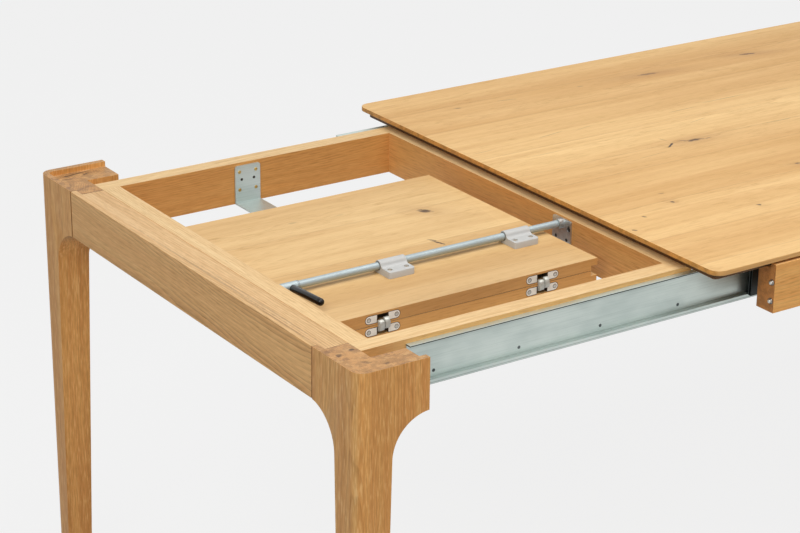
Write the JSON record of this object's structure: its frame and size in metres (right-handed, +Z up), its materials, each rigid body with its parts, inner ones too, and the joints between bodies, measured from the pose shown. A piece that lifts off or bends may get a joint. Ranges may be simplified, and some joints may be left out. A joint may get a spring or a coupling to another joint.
{
  "type": "extension dining table",
  "caption": "Rectangular wooden dining table whose end frame pulls out on telescopic slides and holds a folding butterfly leaf on a pivot rod.",
  "frame": {"origin": "on the floor under the middle of the table's outline, with the end frame pulled out", "axes": "+X along the table from the end that pulls out to the fixed end, +Y across it, +Z up"},
  "size_m": [2.447, 1.004, 0.76],
  "materials": {
    "panel_oak": "oiled honey oak, satin",
    "frame_oak": "oiled honey oak, satin",
    "rail_wood": "pale oiled hardwood, satin",
    "slide_zinc": "blue zinc plated sheet, satin",
    "bright_steel": "bright zinc plated bar",
    "hinge_zinc": "zinc die casting, satin",
    "link_grey": "zinc die casting, darkened",
    "saddle_plastic": "moulded, satin light grey",
    "screw_dark": "zinc plated, in shade",
    "screw_yellow": "yellow passivated",
    "grip_black": "moulded, satin black",
    "pad_felt": "felt",
    "glide_plastic": "moulded brown"
  },
  "bodies": {
    "main_frame": {"tabletop": "panel_oak", "side_apron_near": "frame_oak", "side_apron_far": "frame_oak", "fixed_leg_near": "frame_oak", "fixed_leg_far": "frame_oak", "fixed_end_apron": "frame_oak", "locating_studs_near": "bright_steel", "locating_studs_far": "bright_steel", "slide_outer_near": "slide_zinc", "slide_outer_far": "slide_zinc", "slide_spacer_near": "rail_wood", "slide_spacer_far": "rail_wood", "foot_glides_fixed": "glide_plastic"},
    "near_stage": {"slide_middle_near": "slide_zinc"},
    "far_stage": {"slide_middle_far": "slide_zinc"},
    "end_frame": {"end_leg_near": "frame_oak", "end_leg_far": "frame_oak", "end_apron": "frame_oak", "well_rail_near": "rail_wood", "well_rail_far": "rail_wood", "well_rail_outer": "rail_wood", "well_rail_inner": "rail_wood", "slide_inner_near": "slide_zinc", "slide_inner_far": "slide_zinc", "slide_screws_near": "screw_dark", "slide_screws_far": "screw_dark", "leaf_bracket": "slide_zinc", "bracket_screws": "screw_yellow", "bracket_pad": "pad_felt", "pivot_plate": "bright_steel", "plate_screws": "screw_dark", "foot_glides_end": "glide_plastic"},
    "pivot_rod": {"pivot_rod": "bright_steel", "rod_ring": "bright_steel"},
    "leaf_a": {"leaf_a": "panel_oak", "hinge_a_outer": "hinge_zinc", "hinge_a_inner": "hinge_zinc", "saddle_outer": "saddle_plastic", "saddle_inner": "saddle_plastic", "saddle_screws_outer": "screw_dark", "saddle_screws_inner": "screw_dark", "hinge_screws_a": "hinge_zinc"},
    "leaf_b": {"leaf_b": "panel_oak", "hinge_b_outer": "hinge_zinc", "hinge_b_inner": "hinge_zinc", "hinge_screws_b": "hinge_zinc"},
    "hinge_links": {"hinge_link_outer": "link_grey", "hinge_link_inner": "link_grey"},
    "lever": {"lever_arm": "bright_steel", "lever_grip": "grip_black"}
  },
  "joints": [
    {"name": "slide_outer_stage", "type": "slide", "parent": "main_frame", "child": "far_stage", "axis": [-1, 0, 0], "range_m": [-0.23, 0]},
    {"name": "slide_inner_stage", "type": "slide", "parent": "far_stage", "child": "end_frame", "axis": [-1, 0, 0], "range_m": [-0.417, 0]},
    {"name": "near_stage_float", "type": "slide", "parent": "main_frame", "child": "near_stage", "axis": [-1, 0, 0], "range_m": [0, 0.23]},
    {"name": "leaf_flip", "type": "hinge", "parent": "end_frame", "child": "pivot_rod", "pos_m": [-0.857, -0.1325, 0.728], "axis": [1, 0, 0], "range_deg": [0, 180]},
    {"name": "leaf_shift", "type": "slide", "parent": "pivot_rod", "child": "leaf_a", "axis": [1, 0, 0], "range_m": [-0.0015, 0.025]},
    {"name": "leaf_unfold", "type": "hinge", "parent": "leaf_a", "child": "leaf_b", "pos_m": [-0.8725, -0.265, 0.696], "axis": [1, 0, 0], "range_deg": [-90, 0]},
    {"name": "hinge_link_turn", "type": "hinge", "parent": "leaf_a", "child": "hinge_links", "pos_m": [-0.8725, -0.265, 0.696], "axis": [1, 0, 0], "range_deg": [-45, 0]},
    {"name": "lever_turn", "type": "hinge", "parent": "end_frame", "child": "lever", "pos_m": [-1.1082, -0.1325, 0.728], "axis": [-1, 0, 0], "range_deg": [0, 173]}
  ],
  "couplings": [
    {"joint": "leaf_unfold", "follows": "leaf_flip", "ratio": -0.5},
    {"joint": "hinge_link_turn", "follows": "leaf_flip", "ratio": -0.25}
  ]
}
